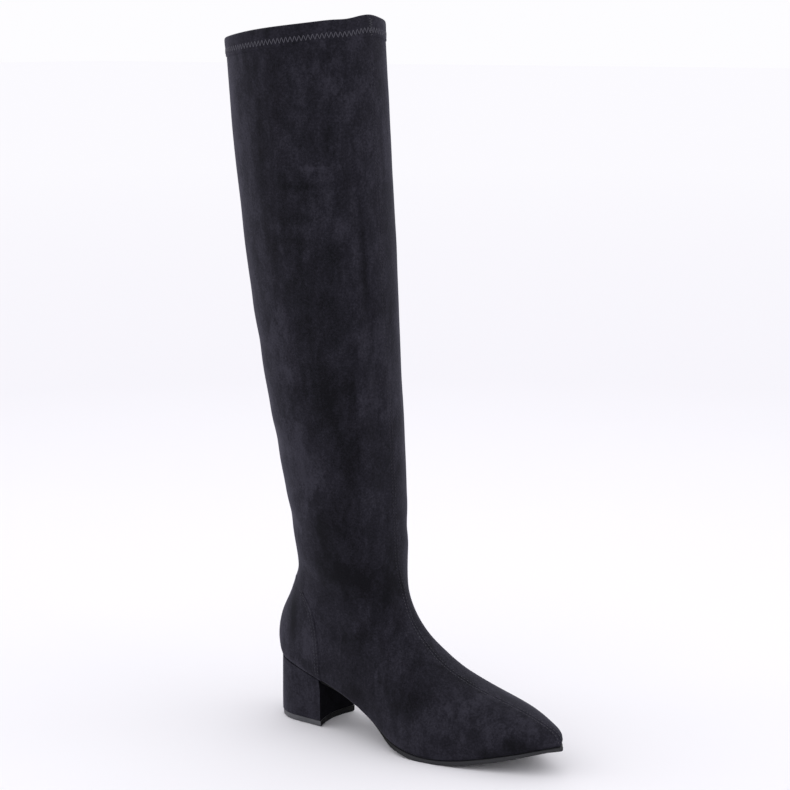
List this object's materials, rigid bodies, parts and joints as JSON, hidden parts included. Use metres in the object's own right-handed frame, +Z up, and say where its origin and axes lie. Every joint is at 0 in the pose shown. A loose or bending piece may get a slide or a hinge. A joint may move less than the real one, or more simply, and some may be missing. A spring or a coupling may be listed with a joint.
{
  "type": "over-the-knee boot",
  "caption": "Right over-the-knee boot in black suede with a pointed toe, covered block heel, heel counter and an inner-side ankle zip.",
  "frame": {"origin": "middle of the boot's bounding box, at the level of the floor that the heel and the forefoot stand on", "axes": "+X from heel to toe, +Y to the inner (medial) side of this right boot, +Z up along the shaft"},
  "size_m": [0.2722, 0.14, 0.5618],
  "materials": {
    "suede": "brushed suede nap, black with a bluish cast, mottled",
    "sole_rubber": "matte, dark grey",
    "sock": "smooth lining fabric",
    "zip_tape": "woven tape",
    "zip_coil": "semi-matte nylon teeth",
    "black_nickel": "polished black nickel"
  },
  "bodies": {
    "boot": {"upper": "suede", "heel_counter": "suede", "heel_block": "suede", "heel_top_piece": "sole_rubber", "outsole": "sole_rubber", "insole": "sock", "zip_tape": "zip_tape", "zip_coil": "zip_coil", "zip_slider": "black_nickel"},
    "pull": {"zip_pull": "black_nickel"}
  },
  "joints": [
    {"name": "pull_swing", "type": "hinge", "parent": "boot", "child": "pull", "pos_m": [-0.06241, 0.05782, 0.21421], "axis": [0.9863, 0.0929, 0.136], "range_deg": [0, 165]}
  ]
}
